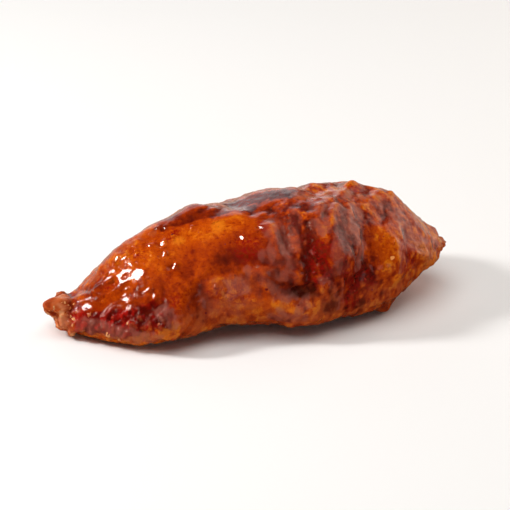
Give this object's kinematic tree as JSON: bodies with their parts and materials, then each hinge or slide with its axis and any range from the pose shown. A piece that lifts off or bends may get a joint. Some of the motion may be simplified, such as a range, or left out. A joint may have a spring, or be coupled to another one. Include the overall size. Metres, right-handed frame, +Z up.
{
  "type": "chicken tender",
  "caption": "Whole glazed chicken tender: a thick uneven strip with a ragged narrow end, a wedge-shaped end, folded sides and a flat underside to lie on.",
  "frame": {"origin": "on the surface that the tender lies on, below the middle of its bounding box", "axes": "+X from the ragged end to the wedge-shaped end, +Y from the shown front to the back, +Z up"},
  "size_m": [0.105, 0.0458, 0.0305],
  "materials": {
    "glazed_meat": "browned chicken under a sticky, wet, amber to red-brown glaze with darker crust in the folds"
  },
  "bodies": {
    "root": {"tender": "glazed_meat"}
  },
  "joints": []
}
